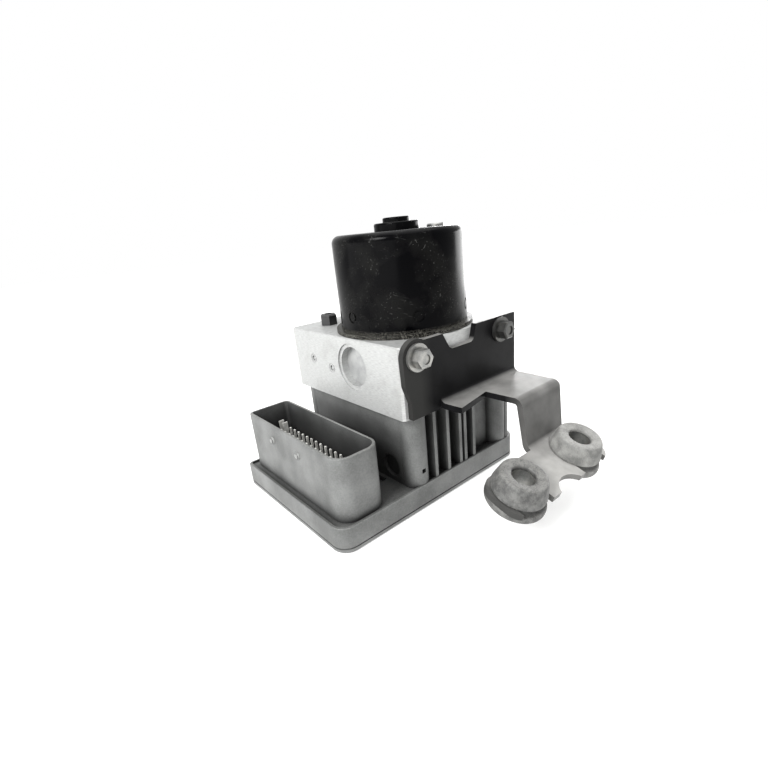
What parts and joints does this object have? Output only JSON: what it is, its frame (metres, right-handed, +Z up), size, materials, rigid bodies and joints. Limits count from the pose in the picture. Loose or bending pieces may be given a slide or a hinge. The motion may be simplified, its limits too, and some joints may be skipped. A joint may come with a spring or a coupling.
{
  "type": "abs brake module",
  "caption": "Anti-lock brake unit with an aluminium valve block, a pump motor on top, a control unit with a pin connector below and a bent bracket with rubber grommets.",
  "frame": {"origin": "centre of the flat underside of the control unit's cover", "axes": "+Z up along the motor shaft, +X away from the connector along the long side, -Y towards the bracket"},
  "size_m": [0.13, 0.1583, 0.1424],
  "materials": {
    "block_aluminium": "satin",
    "turned_aluminium": "satin",
    "black_can": "gloss",
    "black_plastic": "matte",
    "housing_plastic": "matte",
    "cover_plastic": "matte",
    "seal_rubber": "matte",
    "grommet_rubber": "matte",
    "bracket_paint": "satin",
    "zinc_steel": "satin",
    "ground_steel": "ground",
    "piston_steel": "ground",
    "spring_steel": "drawn",
    "magnet_ferrite": "matte",
    "lamination_steel": "stamped",
    "winding_copper": "enamelled copper",
    "brush_carbon": "matte",
    "coil_plastic": "matte",
    "tinned_contacts": "tinned",
    "board_green": "satin",
    "chip_plastic": "matte"
  },
  "bodies": {
    "unit": {"hydraulic_block": "block_aluminium", "ball_plugs": "ground_steel", "hex_plug": "black_plastic", "motor_can": "black_can", "vent_plug": "black_plastic", "motor_screws": "zinc_steel", "field_magnets": "magnet_ferrite", "upper_bearing": "ground_steel", "lower_bearing": "ground_steel", "brush_plate": "black_plastic", "brushes": "brush_carbon", "brush_springs": "spring_steel", "pump_sleeve_left": "ground_steel", "pump_sleeve_right": "ground_steel", "pump_spring_left": "spring_steel", "pump_spring_right": "spring_steel", "pump_plug_left": "turned_aluminium", "pump_plug_right": "turned_aluminium", "solenoid_valves": "ground_steel", "solenoid_coils": "coil_plastic", "coil_terminals": "tinned_contacts", "accumulator_spring_left": "spring_steel", "accumulator_spring_right": "spring_steel", "accumulator_caps": "turned_aluminium", "motor_contact": "tinned_contacts", "ecu_housing": "housing_plastic", "housing_seal": "seal_rubber", "ecu_screws": "zinc_steel", "ecu_cover": "cover_plastic", "board_stands": "board_green", "circuit_board": "board_green", "board_parts": "chip_plastic", "connector_pins": "tinned_contacts", "bracket": "bracket_paint", "bracket_bolts": "zinc_steel", "grommet_left": "grommet_rubber", "grommet_right": "grommet_rubber", "bush_left": "zinc_steel", "bush_right": "zinc_steel"},
    "rotor": {"motor_shaft": "ground_steel", "armature_core": "lamination_steel", "armature_windings": "winding_copper", "commutator": "winding_copper", "eccentric": "ground_steel", "eccentric_ring": "ground_steel"},
    "piston_left": {"pump_piston_left": "piston_steel"},
    "piston_right": {"pump_piston_right": "piston_steel"},
    "accumulator_left": {"accumulator_piston_left": "piston_steel"},
    "accumulator_right": {"accumulator_piston_right": "piston_steel"}
  },
  "joints": [
    {"name": "motor_turn", "type": "hinge", "parent": "unit", "child": "rotor", "pos_m": [0.0155, -0.011, 0.1], "axis": [0, 0, 1], "continuous": true},
    {"name": "pump_left_slide", "type": "slide", "parent": "unit", "child": "piston_left", "axis": [-1, 0, 0], "range_m": [0, 0.002], "deforming": ["pump_spring_left"]},
    {"name": "pump_right_slide", "type": "slide", "parent": "unit", "child": "piston_right", "axis": [1, 0, 0], "range_m": [0, 0.002], "deforming": ["pump_spring_right"]},
    {"name": "accumulator_left_slide", "type": "slide", "parent": "unit", "child": "accumulator_left", "axis": [0, 0, -1], "range_m": [0, 0.004], "deforming": ["accumulator_spring_left"]},
    {"name": "accumulator_right_slide", "type": "slide", "parent": "unit", "child": "accumulator_right", "axis": [0, 0, -1], "range_m": [0, 0.004], "deforming": ["accumulator_spring_right"]}
  ]
}
